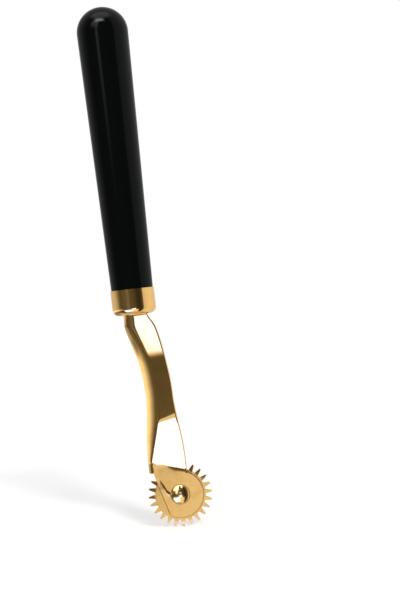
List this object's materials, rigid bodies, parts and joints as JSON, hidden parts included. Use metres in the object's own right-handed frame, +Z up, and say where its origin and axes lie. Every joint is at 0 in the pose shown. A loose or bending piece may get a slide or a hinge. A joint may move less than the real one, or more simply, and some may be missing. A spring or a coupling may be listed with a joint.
{
  "type": "tracing wheel",
  "caption": "Hand tracing wheel for pattern marking: serrated wheel riveted between the ears of a folded metal stem, ferrule and round tapered handle.",
  "frame": {"origin": "on the handle's axis, at the middle of the ferrule's length", "axes": "+Z up the handle's axis to its domed end, +X towards the side the wheel is offset to, +Y along the wheel's axle from the rivet's domed head to its tail"},
  "size_m": [0.0258, 0.0162, 0.164],
  "materials": {
    "black_lacquer": "black gloss lacquer on turned wood",
    "ferrule_brass": "polished gold-tone metal",
    "fork_brass": "mirror-polished gold-tone sheet",
    "wheel_brass": "polished gold-tone plate, cut teeth",
    "axle_brass": "polished gold-tone rivet"
  },
  "bodies": {
    "handle_and_fork": {"handle": "black_lacquer", "ferrule": "ferrule_brass", "fork": "fork_brass", "axle_sleeve": "axle_brass", "axle_rivet": "axle_brass"},
    "wheel": {"tracing_wheel": "wheel_brass"}
  },
  "joints": [
    {"name": "wheel_spin", "type": "hinge", "parent": "handle_and_fork", "child": "wheel", "pos_m": [0.00766, 0, -0.0613], "axis": [0, 1, 0], "continuous": true}
  ]
}
